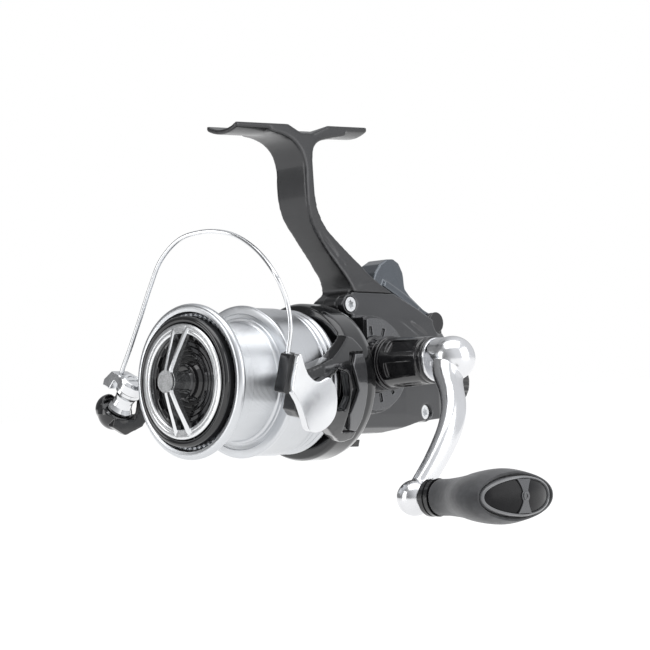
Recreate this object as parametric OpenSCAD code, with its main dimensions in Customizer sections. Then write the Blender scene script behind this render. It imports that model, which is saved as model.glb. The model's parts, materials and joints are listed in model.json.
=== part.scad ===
// Spinning reel with a free-spool rear tension system, 2500 size class.
// The foot seat is the origin, +Z points out of the foot towards the rod,
// -Y points to the front of the spool and +X is the handle side.
// All sizes are in millimetres.

/* [Foot and stem] */
// Length of the foot along the rod
foot_len = 54.4; // [45:0.2:70]
// Width of the foot
foot_w = 12.8; // [10:0.2:16]
// Radius of the hollow rod seat
seat_r = 11.7; // [9:0.1:16]
// Thickness of the two toes
toe_t = 1.4; // [1:0.1:3]
// Width of the stem at its slim part
stem_w = 10.2; // [7:0.1:14]

/* [Layout] */
// Distance from the seat down to the spool axis
axis_drop = 75; // [60:0.5:95]
// Distance of the handle axis behind the middle of the foot
axis_back = 15; // [5:0.5:25]
// Angle between the spool axis and the foot
axis_tilt = 3; // [0:0.5:6]
// Height of the handle axis above the spool axis
drive_z = 4.7; // [4.6:0.1:8]
// Turn of the rotor in the modelled position
rotor_rest = 10; // [0:1:90]

/* [Spool] */
// Outer diameter of the front lip
lip_d = 44; // [38:0.5:52]
// Radius of the line arbor
arbor_r = 16.9; // [14:0.1:19]
// Radius of the skirt
skirt_r = 21.4; // [18:0.1:24]
// Wall of the skirt
skirt_wall = 1.2; // [0.8:0.1:2]
// Front plane of the lip
lip_y = -61.5; // [-70:0.5:-55]
// Front plane of the rear flange
flange_y = -42.1; // [-50:0.1:-38]
// Rear edge of the skirt
skirt_end_y = -22; // [-26:0.5:-20]

/* [Main shaft] */
// Radius of the main shaft
shaft_r = 1.75; // [1.5:0.05:2]
// Radial play of running fits
play = 0.05; // [0.01:0.01:0.1]

/* [Rotor and bail] */
// Largest radius of the rotor
rotor_r = 23.2; // [21:0.1:26]
// Outer radius of the two rotor arms
arm_r = 28.6; // [26:0.1:32]
// Position of the bail hinge along the spool axis
bail_y = -40.5; // [-46:0.5:-36]
// Radius of the bail wire
wire_r = 0.65; // [0.5:0.05:1.2]

/* [Gear train] */
// Teeth of the drive gear
drive_teeth = 52; // [36:1:60]
// Teeth of the pinion
pinion_teeth = 10; // [8:1:14]
// Teeth of the cross wind gear
worm_teeth = 13; // [10:1:20]
// Outer radius of the drive gear
drive_r = 10.5; // [9:0.1:12]
// Outer radius of the pinion teeth
pinion_r = 3.2; // [2.8:0.1:3.8]

/* [Body] */
// Parting plane of body and side cover
part_x = 5; // [3:0.5:8]
// Outer face of the side cover
cover_x = 9.5; // [8:0.5:12]
// Far face of the body
far_x = -11; // [-14:0.5:-9]
// Radius of the slotted ring around the drive shaft
ring_r = 13.7; // [11:0.1:16]

/* [Handle] */
// Length of the handle arm
arm_len = 48.8; // [40:0.2:65]
// Direction of the arm, forward of straight down
arm_dir = 37; // [0:1:90]
// Outer end of the handle collar
collar_x = 38; // [32:0.5:45]
// Middle plane of the ball at the end of the arm
ball_x = 55.1; // [48:0.1:62]
// Height of the folding hinge above the drive axis
fold_x = 42.4; // [40:0.1:46]

/* [Knob] */
// Outer end of the knob
knob_end_x = 95; // [85:0.5:110]
// Half width of the knob across its flat
knob_a = 16.4; // [10:0.2:20]
// Half thickness of the knob
knob_b = 7.4; // [5:0.1:10]

/* [Hidden] */
$fn = 64;
lip_r = lip_d / 2;
skirt_in = skirt_r - skirt_wall;
bore_r = shaft_r + play;
worm_x = -5.6;
worm_z = -5;
worm_r = 2.3;
worm_gear_r = norm([worm_x, worm_z]) - pinion_r - 0.1;
pin_y = 36;
pin_z = 18.4;
rod_z = -9;
stop_z = -13.8;
fold_steps = [0 : 8 : 40];
// Each screw place is [y, z, inner end of its boss].
screw_places = [[-3.2, 22.9, -1], [-2.8, -12.9, 1.6], [27.9, -9.4, 3.2]];
arm_y = -arm_len * sin(arm_dir);
arm_z = drive_z - arm_len * cos(arm_dir);
roller_y = -58.5;
roller_x = -30.5;
roller_z = -9.2;
roller_lean = 31;

// ---------- helpers ----------

// Places the works, whose axis leans against the foot.
module works() {
  translate([0, axis_back, -axis_drop]) rotate([-axis_tilt, 0, 0]) children();
}

// Places a part of the rotor in the works.
module on_rotor() {
  works() rotate([0, rotor_rest, 0]) children();
}

// Places a part turning with the line roller.
module on_roller() {
  on_rotor() translate([roller_x, roller_y, roller_z])
    rotate([0, roller_lean, 0]) children();
}

module cyl_y(r, y0, y1) {
  translate([0, y0, 0]) rotate([-90, 0, 0]) cylinder(r = r, h = y1 - y0);
}

module cyl_x(r, x0, x1) {
  translate([x0, 0, 0]) rotate([0, 90, 0]) cylinder(r = r, h = x1 - x0);
}

module cone_x(r0, r1, x0, x1) {
  translate([x0, 0, 0]) rotate([0, 90, 0]) cylinder(r1 = r0, r2 = r1, h = x1 - x0);
}

module tube_y(ro, ri, y0, y1) {
  difference() {
    cyl_y(ro, y0, y1);
    cyl_y(ri, y0 - 1, y1 + 1);
  }
}

module tube_x(ro, ri, x0, x1) {
  difference() {
    cyl_x(ro, x0, x1);
    cyl_x(ri, x0 - 1, x1 + 1);
  }
}

// Ring profile of [radius, y] points turned about the spool axis.
module turned(points) {
  rotate([-90, 0, 0]) rotate_extrude() polygon(points);
}

// Side outline of [y, z] points made thick along X.
module slab_x(x0, x1) {
  translate([x0, 0, 0]) rotate([90, 0, 90]) linear_extrude(x1 - x0) children();
}

// Front outline of [x, z] points made thick along Y.
module slab_y(y0, y1) {
  translate([0, y1, 0]) rotate([90, 0, 0]) linear_extrude(y1 - y0) children();
}

module on_drive_axis() {
  translate([0, 0, drive_z]) children();
}

// Flat toothed outline with n teeth.
module toothed(n, r_out, depth) {
  polygon([
    for (i = [0 : n - 1], k = [0 : 3])
      let (a = 360 * (i + [0.08, 0.42, 0.58, 0.92][k]) / n,
           r = (k == 1 || k == 2) ? r_out : r_out - depth)
      [r * cos(a), r * sin(a)]
  ]);
}

// Point on a smooth curve through the listed points.
function spline(p, i, t) =
  let (n = len(p) - 1,
       a = p[max(i - 1, 0)], b = p[i], c = p[min(i + 1, n)], d = p[min(i + 2, n)])
  0.5 * (2 * b + (c - a) * t + (2 * a - 5 * b + 4 * c - d) * t * t
         + (3 * b - a - 3 * c + d) * t * t * t);

function smooth_path(p, steps) = concat(
  [for (i = [0 : len(p) - 2], s = [0 : steps - 1]) spline(p, i, s / steps)],
  [p[len(p) - 1]]);

function unit(v) = v / norm(v);

function tangent(p, i) =
  unit(p[min(i + 1, len(p) - 1)] - p[max(i - 1, 0)]);

// Solid of sections joined one after the other.
module joined(rings) {
  n = len(rings[0]);
  m = len(rings);
  points = [for (ring = rings, q = ring) q];
  sides = [for (j = [0 : m - 2], k = [0 : n - 1])
    [j * n + k, j * n + (k + 1) % n, (j + 1) * n + (k + 1) % n, (j + 1) * n + k]];
  first = [for (k = [n - 1 : -1 : 0]) k];
  last = [for (k = [0 : n - 1]) (m - 1) * n + k];
  polyhedron(points, concat(sides, [first, last]), 4);
}

// Round bar swept along a path, side is any direction across the path.
module swept(path, r, side, n = 12) {
  joined([for (i = [0 : len(path) - 1])
    let (t = tangent(path, i), v = unit(cross(t, side)), u = cross(v, t))
    [for (k = [0 : n - 1])
      path[i] + r * cos(360 * k / n) * u - r * sin(360 * k / n) * v]]);
}

// ---------- foot, stem and body ----------

module foot_section() {
  intersection() {
    translate([0, seat_r]) circle(seat_r + toe_t);
    translate([-foot_w / 2, -3]) square([foot_w, 4.9]);
  }
}

// Rear and front edges of the foot and stem from the side.
rear_edge = [
  [18, -1.3], [11.2, -2.2], [6.9, -3.1], [4.7, -4.4], [3.6, -6.2], [3.2, -9],
  [3.1, -14], [3.2, -19.3], [4.3, -23.7], [6.9, -27.8], [11.1, -31.8],
  [19.3, -38.4], [28.5, -46.2]
];
front_edge = [
  [16.2, -48.1], [14.9, -44.6], [11.4, -40.1], [6.9, -34.6], [2.8, -29.1],
  [0.6, -25.2], [-0.3, -20.8], [-0.5, -16.3], [-0.3, -11.3], [-0.8, -8.4],
  [-1.9, -6], [-3.6, -4.2], [-5.8, -2.8], [-9.5, -1.5], [-13.4, -0.9]
];

module stem_outline() {
  polygon(concat(
    [[-13.4, 1.9], [-6.7, 1.9], [-0.8, -0.8], [3.8, -0.8], [11.3, 1.9], [18, 1.9]],
    smooth_path(rear_edge, 4),
    [[28, -52], [12, -52]],
    smooth_path(front_edge, 4)
  ));
}

module stem_front_view() {
  w = stem_w / 2;
  t = foot_w / 2;
  polygon([
    [-t, 3], [t, 3], [t, -18], [t - 0.3, -23], [w + 0.2, -30], [w, -36],
    [w + 0.6, -43], [w + 1.7, -48], [w + 1.7, -54], [-w - 1.7, -54], [-w - 1.7, -48],
    [-w - 0.6, -43], [-w, -36], [-w - 0.2, -30], [0.3 - t, -23], [-t, -18]
  ]);
}

module foot_and_stem() {
  difference() {
    union() {
      slab_y(-foot_len / 2, -6) foot_section();
      slab_y(10.5, foot_len / 2) foot_section();
      intersection() {
        slab_x(-8, 8) stem_outline();
        slab_y(-40, 40) stem_front_view();
      }
    }
    translate([0, 0, seat_r]) cyl_y(seat_r, -foot_len, foot_len);
    for (s = [-1, 1]) {
      slab_x(s * stem_w / 2 - 0.45, s * stem_w / 2 + 0.45) polygon(
        [[4.5, -29.4], [8.6, -33.4], [14.1, -39.4], [17.4, -43.2], [11.5, -37.4], [7, -32.6]]);
    }
  }
}

module body_side_view() {
  polygon([
    [-3.4, -15.5], [11, -15.5], [17, -14.4], [25, -12.3], [35, -11.4], [43, -10.8],
    [43, 10.5], [39, 14.2], [33, 18.6], [26, 22.6], [19, 26], [12, 29.4], [9, 30.4],
    [4, 29.4], [0, 27.4], [-3.4, 24.5]
  ]);
}

module body_envelope() {
  intersection() {
    slab_x(far_x, cover_x) body_side_view();
    slab_y(-10, 50) polygon([
      [far_x + 4, -15.5], [cover_x - 4, -15.5], [cover_x - 1.2, -13.8], [cover_x, -10.5],
      [cover_x, 16], [cover_x - 0.8, 20], [6.8, 26], [6.2, 36], [-6.2, 36], [-6.8, 26],
      [far_x + 1, 18], [far_x, 13], [far_x, -10.5], [far_x + 1.2, -13.8]
    ]);
    linear_extrude(120, center = true) polygon([
      [far_x + 1.5, -4], [cover_x - 1.5, -4], [cover_x, -1.5], [cover_x, 18],
      [cover_x - 0.8, 34], [cover_x - 3.5, 43.5], [far_x + 3.5, 43.5],
      [far_x + 0.8, 34], [far_x, 18], [far_x, -1.5]
    ]);
  }
}

// Side of the parting plane that belongs to the side cover.
module cover_side() {
  translate([part_x, -3.4, -40]) cube([30, 60, 66.8]);
}

module screw_bosses(x1) {
  for (p = screw_places) translate([0, p[0], p[1]]) cyl_x(3.1, p[2], x1);
}

module gear_room() {
  slab_x(-9, part_x + 3) polygon([
    [-1.4, -13], [10, -13.2], [16, -12.6], [24, -11.4], [28, -11.2], [28, 14],
    [20, 17], [12, 18], [-1.4, 18]
  ]);
}

// Ears that carry the pin of the rear lever.
module lever_ears() {
  for (s = [-1, 1]) translate([s * 5.3, pin_y, pin_z]) difference() {
    union() {
      cyl_x(3.2, -1.1, 1.1);
      slab_x(-1.1, 1.1) polygon([[-3.2, 0], [3.2, 0], [3.4, -8], [-5, -8]]);
    }
    cyl_x(1.5, -2, 2);
  }
}

// Rooms for the pin and the hub of the rear lever.
module lever_rooms() {
  translate([0, pin_y, pin_z]) {
    cyl_x(1.5, -8, 8);
    cyl_x(3.5, -4.2, 4.2);
    cyl_x(3.5, 6.4, 12);
    cyl_x(3.5, -12, -6.4);
  }
}

// Rooms for the click gear and the stem of the rear dial.
module rear_rooms() {
  cyl_y(7.7, 30.5, 34.4);
  cyl_y(5.2, 34, 44);
}

// Rooms along the drive shaft on the handle side.
module drive_rooms() {
  cyl_x(11, 2, 7.4);
  cyl_x(5, 7, 10.6);
  cyl_x(4.2, 10, 14);
}

module body_block() {
  body_envelope();
  cyl_y(17.5, -6.4, -3);
  cyl_y(16, -9.2, -3);
  cyl_y(14.6, -14.2, -3);
  cyl_y(10.6, -23, -14);
  on_drive_axis() cyl_x(8, far_x - 2.5, far_x + 1);
  screw_bosses(part_x);
}

module body_rooms() {
  cover_side();
  difference() {
    gear_room();
    screw_bosses(part_x);
  }
  on_drive_axis() {
    drive_rooms();
    cyl_x(8.5, 13.15, 25);
    cyl_x(7.3, far_x - 9, far_x - 2.5);
    cyl_x(5, far_x - 1, -8);
    cyl_x(3.2, far_x - 4, 3);
  }
  cyl_y(3.7, -13.5, 0);
  cyl_y(6.4, -16.3, -13);
  cyl_y(9, -24, -16.2);
  translate([worm_x, 0, worm_z]) {
    cyl_y(worm_gear_r + 0.4, -11.2, 0);
    cyl_y(1.2 + play, -13, 31);
  }
  cyl_y(bore_r + 0.3, 27, 32);
  rear_rooms();
  translate([0, 0, rod_z]) cyl_y(1.2, -2.6, 29.8);
  for (p = screw_places) translate([0, p[0], p[1]]) {
    cyl_x(1.1, p[2] + 0.3, part_x + 1);
    cyl_x(3.1, part_x, 20);
  }
  translate([0, 0, stop_z]) cyl_y(3.4, -1.6, 4.6);
  lever_rooms();
  for (k = [0 : 2]) translate([far_x - 0.6, 12 + 7 * k, 4]) cube([1.2, 4, 1.2]);
}

module housing() {
  color("#3a3c40") {
    difference() {
      union() {
        foot_and_stem();
        works() body_block();
      }
      works() body_rooms();
    }
    works() {
      lever_ears();
      translate([0, 0, stop_z]) cyl_y(0.9, -1.7, 4.7);
    }
  }
}

module side_cover() {
  color("#33353a") works() difference() {
    union() {
      difference() {
        intersection() {
          body_envelope();
          cover_side();
        }
        translate([part_x - 1, -1.5, -13.6]) slab_x(0, 2.4)
          polygon([[0, 1], [24, 3], [29, 4], [29, 28], [20, 32], [1, 32]]);
      }
      intersection() {
        on_drive_axis() cyl_x(14.6, part_x + 0.2, 13.2);
        cover_side();
      }
      intersection() {
        screw_bosses(part_x + 3);
        translate([part_x, -20, -40]) cube([3, 80, 100]);
      }
    }
    on_drive_axis() drive_rooms();
    rear_rooms();
    lever_rooms();
    translate([5.3, pin_y, pin_z]) {
      cyl_x(3.2, -1.1, 1.1);
      slab_x(-1.1, 1.1) polygon([[-3.2, 0], [3.2, 0], [3.4, -8], [-5, -8]]);
    }
    for (p = screw_places) translate([0, p[0], p[1]]) {
      cyl_x(1.3, part_x - 1, part_x + 4);
      cyl_x(2.4, part_x + 1.5, cover_x + 6);
    }
    slab_x(cover_x - 0.6, cover_x + 1) polygon([
      [10, 21.5], [14, 20], [33, 9.5], [36, 6], [36, 8.5], [32, 13], [22, 18.6], [12, 23.5]]);
  }
}

module side_ring() {
  color("#54565b") works() on_drive_axis() difference() {
    intersection() {
      tube_x(ring_r, 8.4, 13.2, 14.6);
      translate([0, -3.4, -40]) cube([30, 60, 80]);
    }
    for (a = [-10 : 30 : 200]) rotate([-a, 0, 0])
      translate([13.9, 0, 10]) rotate([0, 90, 0]) {
        translate([-1.3, -0.6, 0]) cube([2.6, 1.2, 2]);
      }
  }
}

module neck() {
  color("#1c1d20") works() on_drive_axis() difference() {
    union() {
      cyl_x(8.4, 13.2, 15.8);
      cyl_x(7.8, 15.8, 19.6);
    }
    cyl_x(4.2, 13, 14.8);
    cyl_x(2.7 + play, 12, 20);
  }
}

module cover_screws() {
  color("#c9ccd1") works() for (p = screw_places) translate([0, p[0], p[1]]) difference() {
    union() {
      cyl_x(1.1, p[2] + 0.4, part_x + 2);
      cyl_x(2.2, part_x + 1.5, part_x + 3);
    }
    slab_x(part_x + 2.1, part_x + 4) toothed(6, 1.35, 0.4);
  }
}

module far_cap() {
  color("#26282c") works() on_drive_axis() difference() {
    union() {
      cyl_x(7.2, far_x - 4.2, far_x - 2.5);
      cyl_x(3.1, far_x - 2.6, far_x - 1.2);
    }
    cyl_x(4.6, far_x - 5, far_x - 3.7);
  }
}

module ball_bearing(ro, ri, w) {
  difference() {
    cyl_y(ro, 0, w);
    cyl_y(ri, -1, w + 1);
    tube_y(ro - 1, ri + 0.8, -1, 0.4);
    tube_y(ro - 1, ri + 0.8, w - 0.4, w + 1);
  }
}

module front_bearing() {
  color("#b9bdc4") works() translate([0, -16.1, 0]) ball_bearing(6.4, 3 + play, 2.5);
}

module one_way_clutch() {
  color("#a58a52") works() tube_y(9, 4.5 + play, -22.8, -16.6);
}

module far_bearing() {
  color("#b9bdc4") works() on_drive_axis() translate([far_x - 0.9, 0, 0])
    rotate([0, 0, -90]) ball_bearing(5, 2.7 + play, 2.6);
}

module near_bearing() {
  color("#b9bdc4") works() on_drive_axis() translate([7.6, 0, 0])
    rotate([0, 0, -90]) ball_bearing(5, 2.7 + play, 2.6);
}

module guide_rod() {
  color("#c9ccd1") works() translate([0, 0, rod_z]) cyl_y(1.2, -2.4, 29.6);
}

module lever_pin() {
  color("#2b2d31") works() translate([0, pin_y, pin_z]) {
    cyl_x(1.5, -6.6, 6.6);
    cyl_x(3.26, 6.4, 6.95);
    cyl_x(3.26, -6.95, -6.4);
  }
}

// ---------- handle ----------

module drive_gear() {
  color("#c7b483") works() on_drive_axis() difference() {
    union() {
      slab_x(3.3, 6.4) toothed(drive_teeth, drive_r, 0.9);
      cyl_x(4.2, 4.4, 7.4);
    }
    difference() {
      cyl_x(7.8, 3, 4.4);
      cyl_x(4.2, 2, 5);
    }
    cyl_x(2.7, 0, 10);
    for (a = [30 : 60 : 330]) rotate([a, 0, 0]) translate([0, 6, 0]) cyl_x(0.9, 4, 8);
  }
}

module drive_shaft() {
  color("#aeb3ba") works() on_drive_axis() {
    cyl_x(2.7, far_x - 0.9, 22);
    cyl_x(2.4, 22, collar_x);
  }
}

module handle_collar() {
  color("#141517") works() on_drive_axis() difference() {
    union() {
      cyl_x(8, 19.9, 21.5);
      cyl_x(7, 21.5, 22.3);
      cone_x(7.6, 6.8, 22.3, collar_x);
    }
    cyl_x(2.7, 19, 22);
    cyl_x(2.4, 21, collar_x + 1);
    for (a = [0 : 60 : 300]) rotate([a + 20, 0, 0]) translate([24.5, 6.35, -2.2])
      cube([10.5, 3, 4.4]);
    tube_x(8, 6.5, 36.2, 36.8);
  }
}

module in_arm_plane() {
  works() on_drive_axis() rotate([-arm_dir, 0, 0]) children();
}

module handle_yoke() {
  color("#c3c7cc") in_arm_plane() difference() {
    union() {
      cyl_x(6.4, collar_x, collar_x + 1.2);
      intersection() {
        cyl_x(6.4, collar_x, fold_x + 3);
        translate([collar_x, -2.3, -3.2]) cube([8, 4.6, 6.4]);
      }
    }
    translate([fold_x, 0, 0]) cyl_y(1.3, -8, 8);
    translate([fold_x, -4, 0]) rotate([-90, 0, 0]) difference() {
      translate([-1, -8, 0]) cube([10, 16, 8]);
      cylinder(r = 2.9, h = 8);
      translate([-8, -3.2, 0]) cube([8, 6.4, 8]);
    }
  }
}

module fold_pin() {
  color("#9da1a8") in_arm_plane() translate([fold_x, 0, 0]) {
    cyl_y(1.3, -5.6, 5.6);
    cyl_y(1.9, -5.9, -5.2);
  }
}

// Middle line of the handle arm in its own plane.
arm_line = [
  [43.6, 0, -1], [45.2, 0, -5], [48, 0, -9], [51.4, 0, -13.6], [54.6, 0, -19.4],
  [56.3, 0, -25.6], [56.6, 0, -32], [56.2, 0, -38.4], [55.4, 0, -44.6], [ball_x, 0, -47]
];

module arm_bar() {
  path = smooth_path(arm_line, 3);
  m = len(path) - 1;
  n = 20;
  joined([for (i = [0 : m])
    let (t = tangent(path, i), u = [0, 1, 0], v = cross(t, u), s = i / m,
         a = 5 - 2 * s, b = 2.9 - 0.7 * s + 0.8 * pow(1 - s, 6))
    [for (k = [0 : n - 1])
      path[i] + a * cos(360 * k / n) * u - b * sin(360 * k / n) * v]]);
}

module handle_arm() {
  color("#cfd2d6") in_arm_plane() difference() {
    union() {
      arm_bar();
      cyl_x(6.3, fold_x - 2.9, fold_x + 2.4);
      translate([fold_x + 2.4, 0, 0]) sphere(r = 6.5);
      translate([ball_x, 0, -arm_len]) sphere(r = 5);
    }
    translate([fold_x, 0, 0]) {
      for (a = fold_steps) rotate([0, -a, 0]) {
        cyl_x(7, -20, -2.9);
        translate([-20, -2.45, -3.45]) cube([20, 4.9, 6.9]);
      }
      cyl_y(3.6, -2.45, 2.45);
      cyl_y(1.3 + play, -9, 9);
      cyl_y(2.0, -9, -5.1);
    }
    translate([ball_x, 0, -arm_len]) cyl_x(2, -2, 8);
  }
}

module on_knob_axis() {
  works() translate([0, arm_y, arm_z]) children();
}

module knob_shaft() {
  color("#b4b8be") on_knob_axis() {
    cyl_x(2, ball_x - 2, 86);
    cyl_x(3, ball_x + 5, ball_x + 5.3);
  }
}

module knob_screw() {
  color("#d0d3d8") on_knob_axis() difference() {
    cyl_x(3.4, 86, 87.6);
    slab_x(86.8, 88) toothed(6, 1.5, 0.45);
  }
}

// Leaf outline of the knob, a across and b thick.
function leaf(x, a, b, n = 40) = [for (k = [0 : n - 1])
  let (q = 360 * k / n, c = cos(q), s = sin(q))
  [x, a * sign(c) * pow(abs(c), 1.15), -b * sign(s) * pow(abs(s), 0.95)]];

knob_line = [
  [61, 4.2, 4.2], [64.1, 4.2, 4.2], [64.4, 4.8, 4.8], [68, 5.6, 5], [72, 7.6, 5.4], [76, 10.6, 6],
  [80, 13.6, 6.8], [84, 15.8, 7.3], [87, 16.4, 7.4], [89.5, 16, 6.9], [91, 15, 6.1]
];

module knob() {
  k = knob_a / 16.4;
  j = knob_b / 7.4;
  path = smooth_path(knob_line, 2);
  color("#1d1e20") on_knob_axis() difference() {
    joined([for (p = path) leaf(p[0], p[1] * (p[0] > 70 ? k : 1), p[2] * (p[0] > 70 ? j : 1))]);
    cyl_x(2.9, 55, 85);
    cyl_x(4.2, 84.6, 95);
    joined([leaf(89.4, 13.2 * k, 4.7 * j), leaf(95, 13.2 * k, 4.7 * j)]);
  }
}

module knob_cap() {
  k = knob_a / 16.4;
  j = knob_b / 7.4;
  color("#2c2e31") on_knob_axis() difference() {
    joined([
      leaf(89.4, 13 * k, 4.5 * j), leaf(91.6, 12.8 * k, 4.5 * j), leaf(93, 10.6 * k, 4.2 * j),
      leaf(94.2, 7 * k, 3.4 * j), leaf(knob_end_x, 2.6, 1.8)
    ]);
    cyl_x(0.6, 92, 97);
    for (s = [-1, 1]) translate([91, s * 6.4, 0]) slab_x(0, 5)
      polygon([[-3.4, 0], [-1.5, 1.9], [1.5, 1.9], [3.6, 0], [1.5, -1.9], [-1.5, -1.9]]);
  }
}

module knob_rings() {
  color("#101113") on_knob_axis() difference() {
    union() {
      cyl_x(4.9, 60.5, 61.1);
      cyl_x(5.2, 61, 62.2);
      cyl_x(4.9, 62.2, 62.8);
      cyl_x(5.2, 62.8, 64);
    }
    cyl_x(4.4, 61, 65);
    cyl_x(2.9, 59, 65);
  }
}

module knob_bush() {
  color("#b59a5c") on_knob_axis() tube_x(2.9, 2 + play, 60.7, 84.6);
}

// ---------- rotor and bail ----------

// Outer skin of the rotor arms.
module arm_skin(grow) {
  turned([
    [15, -47], [arm_r + grow, -47], [arm_r + grow, -36], [arm_r - 3 + grow, -15], [15, -15]
  ]);
}

// One arm of the rotor, low is how far it reaches below its middle.
module rotor_arm(low) {
  difference() {
    intersection() {
      difference() {
        arm_skin(0);
        cyl_y(lip_r + 1.3, -48, -19.5);
        cyl_y(20.4, -20, -8);
      }
      slab_x(8, 40) polygon([
        [-46.4, -4.4], [-44, -6.5], [-40.5, -7.3], [-36, -min(7.6, low)],
        [-31, -min(9.6, low)], [-26, -min(12.4, low)], [-21, -low], [-19, -14.6],
        [-15.5, -13.6], [-15.5, 12.5], [-18.5, 15.5], [-21, 16], [-25, 13.5], [-31, 10],
        [-36, 8.6], [-40.5, 7.3], [-44, 6.5], [-46.4, 4.4]
      ]);
    }
    slab_x(20, 40) polygon([
      [-33, -4.4], [-24.5, -4.8], [-23.2, -1], [-24.5, 6], [-29, 7], [-33, 4.4]
    ]);
    translate([0, bail_y, 0]) cyl_x(1.5, 20, 40);
    intersection() {
      difference() {
        arm_skin(3);
        arm_skin(-0.9);
      }
      translate([0, -22.6, -11.4]) cube([60, 10, 22.8]);
    }
  }
}

module rotor() {
  color("#232529") on_rotor() {
    turned([
      [3, -33], [17.9, -33], [18.9, -32], [18.9, -19.8], [22.5, -19.2], [rotor_r, -17.6],
      [rotor_r, -11], [22.5, -8.6], [20.9, -8.6], [20.9, -16], [17.2, -19.6],
      [17.2, -30], [6, -30], [6, -23.6], [3, -23.6]
    ]);
    rotor_arm(14.6);
    mirror([1, 0, 0]) rotor_arm(6.9);
  }
}

module arm_cover() {
  intersection() {
    difference() {
      arm_skin(0.3);
      arm_skin(-0.9);
    }
    slab_x(8, 40) polygon([
      [-22.2, -6], [-19.8, -10.8], [-16.4, -11.2], [-15.7, -8], [-15.7, 8],
      [-16.4, 11.2], [-20, 11.2], [-22.2, 8], [-19.6, 1]
    ]);
  }
}

module near_arm_cover() {
  color("#47494e") on_rotor() arm_cover();
}

module far_arm_cover() {
  color("#47494e") on_rotor() mirror([1, 0, 0]) arm_cover();
}

module pinion() {
  color("#c7b483") on_rotor() difference() {
    union() {
      slab_y(-10.9, -5.6) toothed(pinion_teeth, pinion_r, 0.7);
      cyl_y(2.9, -13.4, -10.8);
      cyl_y(3, -35.8, -13.3);
    }
    cyl_y(bore_r, -40, 0);
  }
}

module rotor_nut() {
  color("#b9bdc4") on_rotor() difference() {
    slab_y(-35.6, -33) circle(r = 5.2, $fn = 6);
    cyl_y(3, -37, -32);
  }
}

module clutch_race() {
  color("#d0d3d8") on_rotor() tube_y(4.5, 3, -23.5, -16.4);
}

module bail_cam() {
  color("#d9dbde") on_rotor() difference() {
    union() {
      slab_x(28.9, 31.3) polygon([
        [-50.8, 1.6], [-49.9, 11], [-48.6, 11.4], [-46.6, 8], [-45, 5.4], [-41.6, 4], [-39.2, 4.6],
        [-37.6, 5.4], [-36.4, 3.6], [-34, 2.4], [-33, -1.5], [-33.2, -5.5], [-35.5, -8.6],
        [-39.5, -10.4], [-43.2, -9.8], [-45.2, -6.4], [-47.6, -2]
      ]);
      slab_x(24.9, 29) polygon([[-52, 0.5], [-51, 10.6], [-48.6, 11.4], [-48.4, 1]]);
      translate([0, bail_y, 0]) cyl_x(3.6, 28.8, 31.3);
    }
    translate([0, bail_y, 0]) cyl_x(1.5, 20, 30.6);
    translate([26.6, -49.8, 6]) cylinder(r = wire_r, h = 12);
  }
}

module bail_lever() {
  color("#17181a") on_rotor() difference() {
    union() {
      slab_x(-31.3, -28.9) polygon([
        [-36.4, -3.6], [-36.4, 3.6], [-41, 4.6], [-47, 2], [-52, -4], [-56, -10.4],
        [-62, -12], [-63, -17], [-58, -19.4], [-52, -17], [-47, -11], [-41, -4.8]
      ]);
      translate([0, bail_y, 0]) cyl_x(3.6, -31.8, -28.8);
      translate([-33.4, -59.2, -13.4]) sphere(r = 5);
      translate([-35.2, -59.4, -12.4]) sphere(r = 4.4);
    }
    translate([0, bail_y, 0]) {
      cyl_x(1.5, -40, -20);
      cyl_x(2.6, -33, -31);
    }
    translate([roller_x, roller_y, roller_z]) rotate([0, roller_lean, 0]) {
      translate([0, 0, -3.9]) cylinder(r = 5.4, h = 12);
      translate([0, 0, -10]) cylinder(r = 1.2, h = 10);
    }
  }
}

module bail_screws() {
  color("#c9ccd1") on_rotor() {
    translate([0, bail_y, 0]) cyl_x(1.5 - play, 24.4, 30.5);
    translate([0, bail_y, 0]) difference() {
      union() {
        cyl_x(1.5 - play, -31.2, -24.4);
        cyl_x(2.5, -32, -31);
      }
      slab_x(-33, -31.5) toothed(6, 1.3, 0.4);
    }
  }
}

// Middle line of the bail wire on the rotor.
wire_line = [
  [-32.6, -58.7, -3], [-32.2, -58.6, -0.4], [-30.8, -57.8, 5.4], [-29.1, -56.4, 14.4], [-27.4, -55, 24],
  [-25.1, -53.7, 32.4], [-20, -52, 38.8], [-13, -50.6, 41.6], [-5.6, -49.2, 42.4],
  [2.3, -48.9, 41.3], [12.2, -50.2, 37.8], [21.7, -52.3, 32.4], [24.6, -50, 25.6],
  [26.3, -49.3, 18.5], [26.6, -49.6, 12.2], [26.6, -49.8, 7.4]
];

module bail_wire() {
  color("#dfe1e4") on_rotor() swept(smooth_path(wire_line, 4), wire_r, [0.1, 1, 0.1], 12);
}

module wire_root() {
  color("#d9dbde") on_roller() difference() {
    union() {
      translate([0, 0, 3.8]) cylinder(r = 3.9, h = 2.6);
      translate([0, 0, 6.4]) cylinder(r1 = 3.9, r2 = 3, h = 0.9);
      slab_y(-3, 3) polygon([
        [-1, 3.8], [-4.4, 3.8], [-4.6, 0.6], [-7.6, -0.4], [-8.2, 1.4], [-6.8, 5.4], [-3.6, 6.4], [-1, 6.4]
      ]);
    }
    translate([0, 0, 3]) cylinder(r = 1.2, h = 6);
    translate([0, 0, 6]) cylinder(r = 2, h = 3);
  }
}

module roller_bush() {
  color("#b59a5c") on_roller() difference() {
    translate([0, 0, -3.9]) cylinder(r = 1.9, h = 7.7);
    translate([0, 0, -5]) cylinder(r = 1.2, h = 12);
  }
}

module roller_screw() {
  color("#c9ccd1") on_roller() difference() {
    union() {
      translate([0, 0, -9.5]) cylinder(r = 1.2, h = 16);
      translate([0, 0, 6]) cylinder(r = 1.95, h = 1.1);
    }
    translate([-0.3, -3, 6.6]) cube([0.6, 6, 2]);
  }
}

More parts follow.
